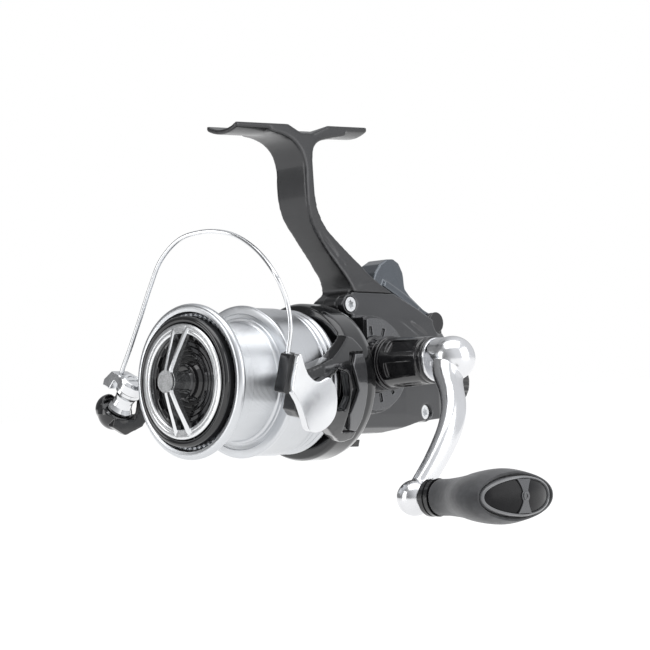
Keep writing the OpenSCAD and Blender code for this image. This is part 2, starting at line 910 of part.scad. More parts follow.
module line_roller() {
  color("#e2e4e6") on_roller() difference() {
    rotate_extrude() polygon([
      [1.9 + play, -3.6], [3.6, -3.6], [3.8, -2.8], [3.1, -1.6], [2.8, 0], [3.1, 1.6],
      [3.8, 2.8], [3.6, 3.6], [1.9 + play, 3.6]
    ]);
  }
}

// ---------- cross wind, main shaft and spool ----------

module worm_shaft() {
  color("#aeb3ba") works() translate([worm_x, 0, worm_z]) difference() {
    union() {
      cyl_y(1.2, -12.8, 30.3);
      cyl_y(worm_r, -5.4, 27.6);
    }
    for (k = [0 : 9]) translate([0, -1 + 2.9 * k, 0]) tube_y(3, worm_r - 0.4, -0.6, 0.6);
  }
}

module worm_gear() {
  color("#2e3034") works() translate([worm_x, 0, worm_z]) difference() {
    slab_y(-10.9, -5.6) toothed(worm_teeth, worm_gear_r, 0.7);
    cyl_y(1.2, -12, 0);
  }
}

module slider() {
  color("#9a9ea5") works() difference() {
    union() {
      slab_y(20, 27) polygon([
        [-2.8, 2.6], [2.6, 2.6], [2.8, -3], [2.2, -10.8], [-2.2, -10.8], [-8.4, -7.6],
        [-8.4, -2], [-5.6, -1.4]
      ]);
      translate([worm_x, 0, worm_z]) cyl_y(3.1, 19, 27.2);
    }
    cyl_y(bore_r, 15, 30);
    translate([worm_x, 0, worm_z]) cyl_y(worm_r + play, 15, 30);
    translate([0, 0, rod_z]) cyl_y(1.2 + play, 15, 30);
    translate([worm_x, 23.5, -12]) {
      cylinder(r = 1.4, h = 4.65);
      cylinder(r = 2.3, h = 2.95);
    }
  }
}

module slider_pawl() {
  color("#d0d3d8") works() translate([worm_x, 23.5, 0]) {
    translate([0, 0, -9.2]) cylinder(r = 1.4, h = 1.8);
    translate([0, 0, -9.9]) cylinder(r = 2.2, h = 0.8);
  }
}

module main_shaft() {
  color("#c3c7cc") works() difference() {
    cyl_y(shaft_r, -61.8, 49);
    for (s = [-1, 1]) translate([s * 1.4 + (s > 0 ? 0 : -2), 30, -3]) cube([2, 20, 6]);
  }
}

module shaft_clips() {
  color("#8d9198") works() for (y = [19.3, 27.1]) tube_y(3, shaft_r, y, y + 0.6);
}

module drag_plate() {
  color("#b9bdc4") works() difference() {
    cyl_y(12.4, -52.8, -51.5);
    cyl_y(shaft_r, -54, -50);
    for (a = [0 : 60 : 300]) rotate([0, a, 0]) translate([8, 0, 0]) cyl_y(1.6, -54, -50);
  }
}

module spool() {
  color("#c6c9cc") works() difference() {
    turned([
      [3.4, -38.8], [6, -38.8], [6, -45.2], [15.2, -45.2], [15.2, -39.8], [skirt_in, -39.8],
      [skirt_in, skirt_end_y], [skirt_r - 0.5, skirt_end_y], [skirt_r - 0.2, -22.4],
      [skirt_r - 0.2, -23.2], [skirt_r - 0.7, -23.5], [skirt_r - 0.7, -24.1],
      [skirt_r - 0.2, -24.4], [skirt_r - 0.2, -25.4], [skirt_r - 0.7, -25.7],
      [skirt_r - 0.7, -26.3], [skirt_r - 0.2, -26.6], [skirt_r - 0.2, -28],
      [skirt_r, -28.4], [skirt_r, -40], [skirt_r + 0.5, -40.4], [skirt_r + 0.5, flange_y + 0.4],
      [skirt_r + 0.2, flange_y], [19.4, flange_y - 0.1], [19.4, flange_y + 0.2],
      [18.2, flange_y + 0.2], [18.2, flange_y - 0.2], [arbor_r, flange_y - 0.2],
      [arbor_r, -58.3], [lip_r - 2.6, -58.6], [lip_r - 0.5, -59], [lip_r, -59.8],
      [lip_r - 0.2, -61.2], [lip_r - 1, -62], [lip_r - 1.9, -62.1], [lip_r - 2.5, lip_y],
      [19.2, -61], [19.2, -60], [16, -60], [16, -58.2], [14, -58.2], [14, -47], [3.4, -47]
    ]);
  }
}

module spool_bush() {
  color("#b59a5c") works() tube_y(3.4, bore_r, -47, -38.6);
}

module drag_washers() {
  color("#6d5a3c") works() difference() {
    union() {
      tube_y(13.9, 2.4, -48.2, -47.1);
      tube_y(13.2, 2.4, -49.4, -48.2);
      tube_y(13.9, 2.4, -50.9, -49.4);
    }
  }
}

module click_ring() {
  color("#8d9198") works() difference() {
    slab_y(-60.7, -60) toothed(60, 19.1, 0.5);
    cyl_y(16.6, -61, -59);
  }
}

module drag_knob() {
  color("#0f1012") works() difference() {
    turned([
      [0, -63], [4.8, -63], [5.2, -62.6], [5.2, -61.6], [8, -61.4], [8, -61.8], [11, -62],
      [11, -62.4], [13.3, -62.6], [13.4, -61.9], [16.3, -61.9], [16.4, -63.6], [17.2, -64],
      [18.2, -63.8], [18.8, -63], [18.8, -61.1], [15.4, -61.1], [15.4, -59.4], [13.6, -59.4],
      [13.6, -55.6], [6.6, -55.6],
      [6.6, -53.2], [0, -53.2]
    ]);
    cyl_y(bore_r, -62.2, -50);
    for (a = [15 : 30 : 345]) rotate([0, a, 0]) translate([12.4, 0, 0])
      translate([-0.9, -64, -1.2]) cube([1.9, 1.6, 2.4]);
  }
}

module drag_ring() {
  color("#d4d6d9") works() turned([
    [13.4, -61.9], [16.3, -61.9], [16.3, -63.9], [15.9, -64.3], [14.9, -64.3], [14.8, -64.1],
    [14.6, -64.1], [14.5, -64.3], [13.8, -64.2], [13.4, -63.8]
  ]);
}

module half_bar() {
  for (s = [-1, 1]) translate([s * 1.2, 0, 2.4]) rotate([0, s * 6.5, 0])
    slab_x(-0.55, 0.75 + 0.2) polygon([
      [-69.4, -1.6], [-69.4, 0.6], [-64.9, 14], [-63.9, 15.5], [-62.8, 15.5], [-62.8, 13.6],
      [-66.4, 3], [-66.4, -1.6]
    ]);
}

module drag_bar() {
  color("#c8cbcf") works() difference() {
    union() {
      half_bar();
      mirror([0, 0, 1]) half_bar();
      cyl_y(3, -69.4, -63);
    }
    cyl_y(2, -71, -68.4);
    difference() {
      cyl_y(30, -64.35, -62);
      cyl_y(13.35, -65, -61);
      tube_y(18.2, 16.45, -65, -64);
    }
  }
}

module drag_button() {
  color("#e2e4e6") works() {
    cyl_y(2, -69.4, -68.4);
    cyl_y(3.2, -70.1, -69.4);
  }
}

// ---------- levers and rear dial ----------

module feeder_gear() {
  color("#c7b483") works() difference() {
    union() {
      slab_y(31, 34) toothed(16, 7.2, 0.9);
      cyl_y(4.4, 33.9, 36.8);
    }
    cyl_y(bore_r, 30, 38);
  }
}

module feeder_lever() {
  color("#5b646e") works() difference() {
    union() {
      slab_x(-3.9, 3.9) polygon([
        [11.2, 30.8], [12.2, 33.2], [14.6, 36], [17.6, 37.6], [20.6, 37.8], [23, 36.6],
        [24.8, 33.6], [25.4, 28.8], [27.6, 26.6], [33.6, 22.6], [37, 21.2], [36, 18.4],
        [33.4, 19.4], [26.6, 23.6], [19.6, 26.8], [13, 29.8]
      ]);
      translate([0, pin_y, pin_z]) cyl_x(3.2, -4, 4);
      slab_x(-4.6, 4.6) polygon([
        [15, 29.2], [19.6, 27], [26.6, 23.6], [30.4, 21.4], [31.4, 23.4], [26.6, 26.2], [20, 29.4], [16, 31.2]
      ]);
    }
    translate([0, pin_y, pin_z]) cyl_x(1.5 + play, -9, 9);
  }
}

module tension_dial() {
  color("#17181a") works() difference() {
    union() {
      slab_y(43.3, 49.4) toothed(28, 8, 0.4);
      cyl_y(7.3, 49.3, 50.2);
      cyl_y(5.1, 38.2, 43.4);
    }
    cyl_y(bore_r + 0.3, 37, 49.6);
    translate([-1, 49.6, -6]) cube([2, 2, 12]);
  }
}

module stop_lever() {
  color("#1c1d20") works() translate([0, 0, stop_z]) difference() {
    union() {
      cyl_y(1.9, -1.3, 4.3);
      translate([-1.1, -1, -4]) cube([2.2, 5, 4]);
      slab_y(-1.3, 4.3) polygon([[-2.8, -3.5], [2.8, -3.5], [2.3, -5.6], [-2.3, -5.6]]);
    }
    cyl_y(0.9 + play, -2, 5);
  }
}

// ---------- choice of part ----------

housing();
side_cover();
side_ring();
neck();
cover_screws();
far_cap();
front_bearing();
one_way_clutch();
far_bearing();
near_bearing();
guide_rod();
lever_pin();
drive_gear();
drive_shaft();
handle_collar();
handle_yoke();
fold_pin();
handle_arm();
knob_shaft();
knob_screw();
knob();
knob_cap();
knob_rings();
knob_bush();
rotor();
pinion();
rotor_nut();
clutch_race();
near_arm_cover();
far_arm_cover();
bail_cam();
bail_lever();
bail_screws();
bail_wire();
wire_root();
roller_bush();
roller_screw();
line_roller();
worm_shaft();
worm_gear();
slider();
slider_pawl();
main_shaft();
shaft_clips();
drag_plate();
spool();
spool_bush();
drag_washers();
click_ring();
drag_knob();
drag_ring();
drag_bar();
drag_button();
feeder_gear();
feeder_lever();
tension_dial();
stop_lever();
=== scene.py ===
import json
import math

import bmesh
import bpy
from mathutils import Matrix, Vector


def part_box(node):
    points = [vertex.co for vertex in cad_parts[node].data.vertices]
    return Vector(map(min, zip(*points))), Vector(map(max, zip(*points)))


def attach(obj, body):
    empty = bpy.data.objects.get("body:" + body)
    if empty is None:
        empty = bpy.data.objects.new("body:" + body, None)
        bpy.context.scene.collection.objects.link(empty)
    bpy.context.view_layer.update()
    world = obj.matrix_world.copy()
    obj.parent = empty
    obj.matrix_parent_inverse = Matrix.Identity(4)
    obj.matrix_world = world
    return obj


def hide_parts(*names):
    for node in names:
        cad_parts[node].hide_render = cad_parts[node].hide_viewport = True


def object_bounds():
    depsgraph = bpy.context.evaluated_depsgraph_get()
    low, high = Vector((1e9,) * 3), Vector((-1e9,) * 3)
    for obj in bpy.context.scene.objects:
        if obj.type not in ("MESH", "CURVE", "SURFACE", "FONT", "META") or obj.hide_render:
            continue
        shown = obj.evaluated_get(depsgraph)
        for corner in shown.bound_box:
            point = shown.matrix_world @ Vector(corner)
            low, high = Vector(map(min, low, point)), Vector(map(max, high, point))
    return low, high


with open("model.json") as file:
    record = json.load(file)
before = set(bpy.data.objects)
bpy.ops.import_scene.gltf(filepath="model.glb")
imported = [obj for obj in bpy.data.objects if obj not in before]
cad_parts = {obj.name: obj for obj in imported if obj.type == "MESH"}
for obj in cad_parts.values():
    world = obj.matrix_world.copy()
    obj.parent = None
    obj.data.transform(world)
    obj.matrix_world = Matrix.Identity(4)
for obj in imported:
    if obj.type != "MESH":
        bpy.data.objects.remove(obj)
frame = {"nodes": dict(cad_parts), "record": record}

cad_low, cad_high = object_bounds()

MM = 0.001  # lengths below are in millimetres, the frame is in metres
TAU = 2 * math.pi
record = frame["record"]
joints = {joint["name"]: joint for joint in record["behaviour"]["joints"]}

# ---------------------------------------------------------------- places


def place(origin, x_axis, y_axis):
    """Rigid matrix with that origin, X and Y; lengths stay in metres."""
    x, y = Vector(x_axis).normalized(), Vector(y_axis).normalized()
    matrix = Matrix((x, y, x.cross(y))).transposed().to_4x4()
    matrix.translation = Vector(origin)
    return matrix


spool_axis = Vector(joints["rotor_spin"]["axis"])
handle_axis = Vector(joints["handle_turn"]["axis"])
bail_axis = Vector(joints["bail_flip"]["axis"])
WORKS = place(joints["rotor_spin"]["pos_m"], handle_axis, spool_axis)
ROTOR = place(joints["rotor_spin"]["pos_m"], bail_axis, spool_axis)
ARM = place(joints["handle_turn"]["pos_m"], handle_axis, joints["handle_fold"]["axis"])
KNOB = WORKS.copy()
KNOB.translation = Vector(joints["knob_spin"]["pos_m"])
KNOB.translation.x = WORKS.translation.x

# ---------------------------------------------------------------- mesh helpers


def curve_points(a, b, c, d, steps):
    """Points of a smooth curve from b up to c, with a before it and d after it."""
    out = []
    for s in range(steps):
        t = s / steps
        out.append(0.5 * (2 * b + (c - a) * t + (2 * a - 5 * b + 4 * c - d) * t * t
                          + (3 * b - a - 3 * c + d) * t ** 3))
    return out


def smooth_points(points, steps):
    """Points along a smooth curve through the given ones."""
    p = [Vector(q) for q in points]
    last = len(p) - 1
    out = []
    for i in range(last):
        out += curve_points(p[max(i - 1, 0)], p[i], p[i + 1], p[min(i + 2, last)], steps)
    return out + [p[last]]


def closed_smooth(points, steps):
    """The same for a closed outline."""
    p = [Vector(q) for q in points]
    n = len(p)
    out = []
    for i in range(n):
        out += curve_points(p[i - 1], p[i], p[(i + 1) % n], p[(i + 2) % n], steps)
    return out


def directions(path):
    """Unit direction of a path at each of its points."""
    last = len(path) - 1
    return [(path[min(i + 1, last)] - path[max(i - 1, 0)]).normalized()
            for i in range(last + 1)]


class Shape:
    """Collects vertices in millimetres and faces for one piece."""

    def __init__(self):
        self.verts = []
        self.faces = []

    def add(self, verts, faces):
        """Adds vertices, and faces that count from the first of them."""
        start = len(self.verts)
        self.verts += [Vector(v) for v in verts]
        self.faces += [[start + i for i in face] for face in faces]

    def loft(self, rings, closed=False):
        """Joins rings of the same count; closed joins the last to the first."""
        n, m = len(rings[0]), len(rings)
        verts = [v for ring in rings for v in ring]
        spans = m if closed else m - 1
        faces = [[j * n + k, j * n + (k + 1) % n,
                  (j + 1) % m * n + (k + 1) % n, (j + 1) % m * n + k]
                 for j in range(spans) for k in range(n)]
        if not closed:
            faces += [list(range(n))[::-1], [(m - 1) * n + k for k in range(n)]]
        self.add(verts, faces)

    def turn(self, profile, steps, axis="y"):
        """Turns a closed (radius, along) profile about an axis."""
        rings = []
        for k in range(steps):
            a = TAU * k / steps
            c, s = math.cos(a), math.sin(a)
            if axis == "y":
                rings.append([(r * c, y, r * s) for r, y in profile])
            else:
                rings.append([(y, r * c, r * s) for r, y in profile])
        self.loft(rings, closed=True)

    def slab_x(self, outline, x0, x1):
        """A flat outline of (y, z) points made thick along X."""
        self.loft([[(x, p[0], p[1]) for p in outline] for x in (x0, x1)])

    def ball(self, centre, radius, steps=32):
        """A sphere as rings about X, closed by small flats at its two poles."""
        rings = []
        for j in range(1, steps):
            a = math.pi * j / steps
            rings.append([Vector(centre) + Vector((
                radius * math.cos(a),
                radius * math.sin(a) * math.cos(TAU * k / steps),
                radius * math.sin(a) * math.sin(TAU * k / steps)))
                for k in range(steps)])
        self.loft(rings)

    def tube(self, path, radius, sides, side):
        """A round bar along a path; side is a direction that the path never follows."""
        rings = []
        for point, along in zip(path, directions(path)):
            v = along.cross(Vector(side)).normalized()
            u = v.cross(along)
            rings.append([point + radius * math.cos(TAU * k / sides) * u
                          + radius * math.sin(TAU * k / sides) * v for k in range(sides)])
        self.loft(rings)

    def piece(self, name, body, material, where, replaces=(), crease=35, bevel=0.0):
        mesh = bpy.data.meshes.new(name)
        mesh.from_pydata([v * MM for v in self.verts], [], self.faces)
        clean = bmesh.new()
        clean.from_mesh(mesh)
        bmesh.ops.remove_doubles(clean, verts=clean.verts, dist=1e-7)
        bmesh.ops.recalc_face_normals(clean, faces=clean.faces)
        clean.to_mesh(mesh)
        clean.free()
        mesh.shade_smooth()
        mesh.set_sharp_from_angle(angle=math.radians(crease))
        obj = bpy.data.objects.new(name, mesh)
        bpy.context.scene.collection.objects.link(obj)
        obj.matrix_world = where
        obj.data.materials.append(material)
        if bevel:
            round_edges(obj, bevel)
        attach(obj, body)
        if replaces:
            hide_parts(*replaces)
        return obj


def round_edges(obj, width_mm, segments=3, angle=28):
    """Rounds the sharp edges of a piece."""
    bevel = obj.modifiers.new("round_edges", "BEVEL")
    bevel.width = width_mm * MM
    bevel.segments = segments
    bevel.limit_method = "ANGLE"
    bevel.angle_limit = math.radians(angle)
    bevel.use_clamp_overlap = True
    bevel.harden_normals = True


def melt(obj, voxel_mm, passes):
    """Makes one closed skin of the piece's parts and softens its edges, like a casting."""
    skin = obj.modifiers.new("skin", "REMESH")
    skin.mode = "VOXEL"
    skin.voxel_size = voxel_mm * MM
    skin.use_smooth_shade = True
    soft = obj.modifiers.new("soft", "SMOOTH")
    soft.factor = 0.5
    soft.iterations = passes


# ---------------------------------------------------------------- materials

NOISE_SPAN = (0.3, 0.7)  # between these values lies most of a noise texture


class Nodes:
    """A principled material with short calls for its texture nodes."""

    def __init__(self, name, colour, metallic, roughness):
        self.material = bpy.data.materials.new(name)
        self.material.use_nodes = True
        self.tree = self.material.node_tree
        self.shader = self.tree.nodes["Principled BSDF"]
        self.shader.inputs["Base Color"].default_value = (*colour, 1)
        self.shader.inputs["Metallic"].default_value = metallic
        self.shader.inputs["Roughness"].default_value = roughness
        self.material.diffuse_color = (*colour, 1)
        self.colour = colour
        self.roughness = roughness
        self.coordinates = self.new("ShaderNodeTexCoord").outputs["Object"]
        self.relief = None  # the normal of the last bump, which the next one adds to

    def new(self, kind):
        return self.tree.nodes.new(kind)

    def link(self, source, target):
        self.tree.links.new(source, target)

    def stretched(self, scale):
        """Object coordinates scaled by axis, which draws a texture out along one of them."""
        mapping = self.new("ShaderNodeMapping")
        mapping.inputs["Scale"].default_value = scale
        self.link(self.coordinates, mapping.inputs["Vector"])
        return mapping.outputs["Vector"]

    def rings(self, axis):
        """Coordinates that change only with the distance from an axis and along it."""
        split = self.new("ShaderNodeSeparateXYZ")
        self.link(self.coordinates, split.inputs[0])
        across = [name for name in "XYZ" if name != axis]
        flat = self.new("ShaderNodeCombineXYZ")
        self.link(split.outputs[across[0]], flat.inputs[0])
        self.link(split.outputs[across[1]], flat.inputs[1])
        length = self.new("ShaderNodeVectorMath")
        length.operation = "LENGTH"
        self.link(flat.outputs[0], length.inputs[0])
        out = self.new("ShaderNodeCombineXYZ")
        self.link(length.outputs["Value"], out.inputs[0])
        self.link(split.outputs[axis], out.inputs[1])
        return out.outputs[0]

    def noise(self, scale, detail, rough=0.55, vector=None):
        """Fractal noise; scale counts features in a metre."""
        noise = self.new("ShaderNodeTexNoise")
        noise.inputs["Scale"].default_value = scale
        noise.inputs["Detail"].default_value = detail
        noise.inputs["Roughness"].default_value = rough
        self.link(vector or self.coordinates, noise.inputs["Vector"])
        return noise.outputs["Fac"]

    def tint(self, value, dark, light):
        """Base colour between two tints of the material's own colour."""
        ramp = self.new("ShaderNodeValToRGB")
        tints = ([c * dark for c in self.colour], [min(1, c * light) for c in self.colour])
        for stop, position, tinted in zip(ramp.color_ramp.elements, NOISE_SPAN, tints):
            stop.position = position
            stop.color = (*tinted, 1)
        self.link(value, ramp.inputs[0])
        self.link(ramp.outputs[0], self.shader.inputs["Base Color"])

    def worn(self, value, amount):
        """Roughness spread around the material's own value."""
        area = self.new("ShaderNodeMapRange")
        area.inputs["From Min"].default_value = NOISE_SPAN[0]
        area.inputs["From Max"].default_value = NOISE_SPAN[1]
        area.inputs["To Min"].default_value = max(0.02, self.roughness - amount)
        area.inputs["To Max"].default_value = self.roughness + amount
        self.link(value, area.inputs["Value"])
        self.link(area.outputs["Result"], self.shader.inputs["Roughness"])

    def bump(self, value, height_mm, strength):
        """Adds relief; the reliefs of several calls add up."""
        bump = self.new("ShaderNodeBump")
        bump.inputs["Distance"].default_value = height_mm * MM
        bump.inputs["Strength"].default_value = strength
        self.link(value, bump.inputs["Height"])
        if self.relief:
            self.link(self.relief, bump.inputs["Normal"])
        self.relief = bump.outputs["Normal"]
        self.link(self.relief, self.shader.inputs["Normal"])

    def coat(self, weight, roughness):
        """A clear layer over the material."""
        self.shader.inputs["Coat Weight"].default_value = weight
        self.shader.inputs["Coat Roughness"].default_value = roughness


def satin_paint():
    """Gun-metal lacquer: fine metal flakes under a thin clear coat."""
    m = Nodes("satin_paint", (0.05, 0.0505, 0.0525), 0.85, 0.34)
    m.tint(m.noise(60, 3), 0.93, 1.08)
    m.worn(m.noise(220, 6), 0.04)
    m.bump(m.noise(7000, 2), 0.0012, 0.3)
    m.coat(0.4, 0.12)
    return m.material


def gloss_paint(name, colour, roughness):
    """Deep gloss lacquer with faint orange peel and hairline haze."""
    m = Nodes(name, colour, 0.6, roughness)
    m.tint(m.noise(90, 3), 0.92, 1.1)
    m.worn(m.noise(300, 6), 0.04)
    m.bump(m.noise(900, 2), 0.0012, 0.3)
    m.coat(0.8, 0.05)
    return m.material


def gloss_plastic(name, colour, roughness):
    """Moulded plastic: soft flow marks and a light grain."""
    m = Nodes(name, colour, 0.0, roughness)
    m.tint(m.noise(130, 4), 0.85, 1.15)
    m.worn(m.noise(500, 6), 0.05)
    m.bump(m.noise(1500, 3), 0.0008, 0.3)
    m.coat(0.5, 0.08)
    return m.material


def panel_plastic():
    """Dark smoked inlay of the knob's end, less shiny than the black plastic."""
    m = Nodes("panel_black", (0.006, 0.006, 0.007), 0.0, 0.22)
    m.tint(m.noise(200, 3), 0.8, 1.2)
    m.worn(m.noise(600, 4), 0.05)
    m.bump(m.noise(1200, 2), 0.0006, 0.3)
    m.shader.inputs["Specular IOR Level"].default_value = 0.2
    return m.material


def turned_metal(name, colour, roughness):
    """Lathe-turned metal: rings of fine tool marks about Y."""
    m = Nodes(name, colour, 1.0, roughness)
    rings = m.rings("Y")
    m.tint(m.noise(55, 4), 0.95, 1.03)
    m.worn(m.noise(4200, 2, 0.6, rings), 0.03)
    m.bump(m.noise(4200, 2, 0.6, rings), 0.0006, 0.4)
    m.shader.inputs["Anisotropic"].default_value = 0.35
    return m.material


def polished_metal(name, colour, roughness, stretch=(1, 1, 1)):
    """Buffed metal: faint waves and hairline polish marks along one direction."""
    m = Nodes(name, colour, 1.0, roughness)
    lines = m.stretched(stretch)
    m.tint(m.noise(70, 3), 0.95, 1.04)
    m.worn(m.noise(900, 5, 0.6, lines), 0.035)
    m.bump(m.noise(1600, 3, 0.6, lines), 0.0005, 0.3)
    m.bump(m.noise(160, 2), 0.002, 0.2)
    return m.material


def chrome(name):
    """Mirror plating over a slightly wavy base."""
    m = Nodes(name, (0.8, 0.81, 0.825), 1.0, 0.16)
    m.tint(m.noise(80, 2), 0.97, 1.02)
    m.worn(m.noise(600, 5), 0.02)
    m.bump(m.noise(240, 2), 0.001, 0.25)
    return m.material


def soft_rubber():
    """Matte rubber: pebbled grain and slightly greyed high spots."""
    m = Nodes("soft_rubber", (0.03, 0.031, 0.034), 0.0, 0.62)
    m.tint(m.noise(420, 5), 0.75, 1.35)
    m.worn(m.noise(800, 5), 0.08)
    m.bump(m.noise(3800, 3), 0.012, 0.5)
    m.shader.inputs["Sheen Weight"].default_value = 0.25
    m.shader.inputs["Sheen Roughness"].default_value = 0.45
    return m.material


def sintered(name, colour, roughness):
    """Cut or sintered metal of inner parts: speckle and tool haze."""
    m = Nodes(name, colour, 1.0, roughness)
    m.tint(m.noise(600, 6), 0.8, 1.15)
    m.worn(m.noise(1500, 5), 0.1)
    m.bump(m.noise(4000, 3), 0.004, 0.4)
    return m.material


def felt():
    """Pressed fibre of the drag washers."""
    m = Nodes("felt", (0.30, 0.25, 0.17), 0.0, 0.95)
    m.tint(m.noise(1500, 8, 0.7), 0.6, 1.4)
    m.worn(m.noise(900, 4), 0.04)
    m.bump(m.noise(6000, 6, 0.7), 0.03, 0.8)
    return m.material


MATERIALS = {
    "body_paint": satin_paint(),
    "cover_gloss": gloss_paint("cover_gloss", (0.04, 0.041, 0.044), 0.2),
    "ring_grey": gloss_paint("ring_grey", (0.085, 0.087, 0.092), 0.26),
    "black_gloss": gloss_plastic("black_gloss", (0.008, 0.008, 0.009), 0.12),
    "screw_steel": polished_metal("screw_steel", (0.78, 0.79, 0.8), 0.2),
    "bearing_steel": sintered("bearing_steel", (0.62, 0.64, 0.66), 0.25),
    "clutch_brass": sintered("clutch_brass", (0.62, 0.48, 0.24), 0.35),
    "shaft_steel": turned_metal("shaft_steel", (0.66, 0.68, 0.7), 0.22),
    "gear_brass": sintered("gear_brass", (0.74, 0.6, 0.32), 0.3),
    "arm_alloy": polished_metal("arm_alloy", (0.78, 0.785, 0.8), 0.2, (1, 1, 0.12)),
    "pin_steel": sintered("pin_steel", (0.55, 0.57, 0.6), 0.3),
    "knob_rubber": soft_rubber(),
    "cap_plastic": gloss_plastic("cap_plastic", (0.15, 0.153, 0.158), 0.3),
    "bush_brass": sintered("bush_brass", (0.68, 0.54, 0.28), 0.35),
    "rotor_gloss": gloss_paint("rotor_gloss", (0.014, 0.0145, 0.016), 0.14),
    "cover_grey": gloss_paint("cover_grey", (0.1, 0.102, 0.107), 0.22),
    "bail_chrome": chrome("bail_chrome"),
    "bail_wire_steel": chrome("bail_wire_steel"),
    "gear_plastic": gloss_plastic("gear_plastic", (0.08, 0.08, 0.085), 0.4),
    "slider_zinc": sintered("slider_zinc", (0.42, 0.43, 0.45), 0.5),
    "spool_alloy": turned_metal("spool_alloy", (0.66, 0.675, 0.695), 0.3),
    "felt": felt(),
    "knob_black": gloss_plastic("knob_black", (0.008, 0.008, 0.009), 0.1),
    "polished_alloy": polished_metal("polished_alloy", (0.8, 0.81, 0.82), 0.22),
    "lever_blue": gloss_paint("lever_blue", (0.075, 0.087, 0.102), 0.18),
}

SLOT_OF = {part["node"]: part["material_slot"] for part in record["subparts"]}

for node, obj in frame["nodes"].items():
    obj.data.materials.clear()
    obj.data.materials.append(MATERIALS[SLOT_OF[node]])

# ---------------------------------------------------------------- nodes kept from CAD

CASTINGS = {  # node: voxel in mm and smoothing passes
    "housing": (0.36, 9),
    "side_cover": (0.3, 6),
    "rotor": (0.34, 7),
    "near_arm_cover": (0.16, 6),
    "far_arm_cover": (0.16, 6),
    "feeder_lever": (0.22, 10),
    "handle_collar": (0.2, 5),
    "bail_lever": (0.2, 8),
    "wire_root": (0.13, 6),
    "stop_lever": (0.14, 5),
    "side_ring": (0.13, 2),
    "neck": (0.18, 4),
    "lever_pin": (0.15, 3),
    "tension_dial": (0.16, 2),
    "handle_yoke": (0.2, 4),
}
for node, (voxel, passes) in CASTINGS.items():
    melt(frame["nodes"][node], voxel, passes)

TURNED = ("cover_screws", "bail_screws", "roller_screw", "knob_screw", "knob_rings",
          "line_roller", "far_cap", "fold_pin", "drag_button")
for node in TURNED:
    round_edges(frame["nodes"][node], 0.09, 2, 40)

# ---------------------------------------------------------------- spool and drag

SPOOL_LOW, SPOOL_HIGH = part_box("spool")
LIP_R = (SPOOL_HIGH.x - SPOOL_LOW.x) / 2 / MM
LIP_ROUND = 1.35
ARBOR_R = 16.9
SKIRT_R = 21.4
GROOVE_PITCH = 0.46
GROOVE_DEPTH = 0.08


def wavy(r, y0, y1, pitch, depth):
    """Rows of fine grooves on a cylinder, as profile points."""
    count = int(abs(y1 - y0) / pitch)
    step = (y1 - y0) / count
    out = []
    for i in range(count):
        y = y0 + i * step
        out += [(r, y), (r, y + 0.35 * step),
                (r - depth, y + 0.6 * step), (r - depth, y + 0.78 * step)]
    return out + [(r, y1)]


def ridge(y, height=0.5, half=0.9):
    """A round rib around the rear of the skirt."""
    base = SKIRT_R - 0.75
    return [(base + height * math.sin(math.pi * k / 6), y - half + 2 * half * k / 6)
            for k in range(7)]


def arc(cr, cy, radius, start, end, steps=6):
    """Profile points on an arc about (cr, cy), angles from the radial direction."""
    return [(cr + radius * math.cos(math.radians(start + (end - start) * k / steps)),
             cy + radius * math.sin(math.radians(start + (end - start) * k / steps)))
            for k in range(steps + 1)]


def make_spool():
    """Skirt with three ribs behind, grooved arbor and rounded front lip."""
    shape = Shape()
    lip = arc(LIP_R - LIP_ROUND, -60.6, LIP_ROUND, 60, -120, 12)
    shape.turn(
        [(3.4, -38.8), (6, -38.8), (6, -45.2), (15.2, -45.2), (15.2, -39.8), (20.2, -39.8),
         (20.2, -22), (20.7, -22)]
        + ridge(-23) + ridge(-25.2) + ridge(-27.4)
        + [(SKIRT_R - 0.3, -28.8), (SKIRT_R, -29.6), (SKIRT_R, -39.6), (21.55, -40.2)]
        + arc(21.35, -41.45, 0.6, 20, -80, 5)
        + [(20.9, -42.15), (19.6, -42.2), (19.4, -41.95), (18.4, -41.95), (18.2, -42.25),
           (17.5, -42.3), (17.1, -42.6)]
        + wavy(ARBOR_R, -43, -57.6, GROOVE_PITCH, GROOVE_DEPTH)
        + [(17.3, -58.2), (18.2, -58.45), (LIP_R - 2.4, -58.7), (LIP_R - 1.0, -59.1)]
        + lip
        + [(LIP_R - 2.3, -61.75), (LIP_R - 2.6, -61.2), (19.2, -60.9), (19.2, -60), (16, -60),
           (16, -58.2), (14, -58.2), (14, -47), (3.4, -47)],
        steps=192)
    shape.piece("spool_shell", "spool", MATERIALS["spool_alloy"], WORKS,
                ["spool"], crease=32, bevel=0.07)


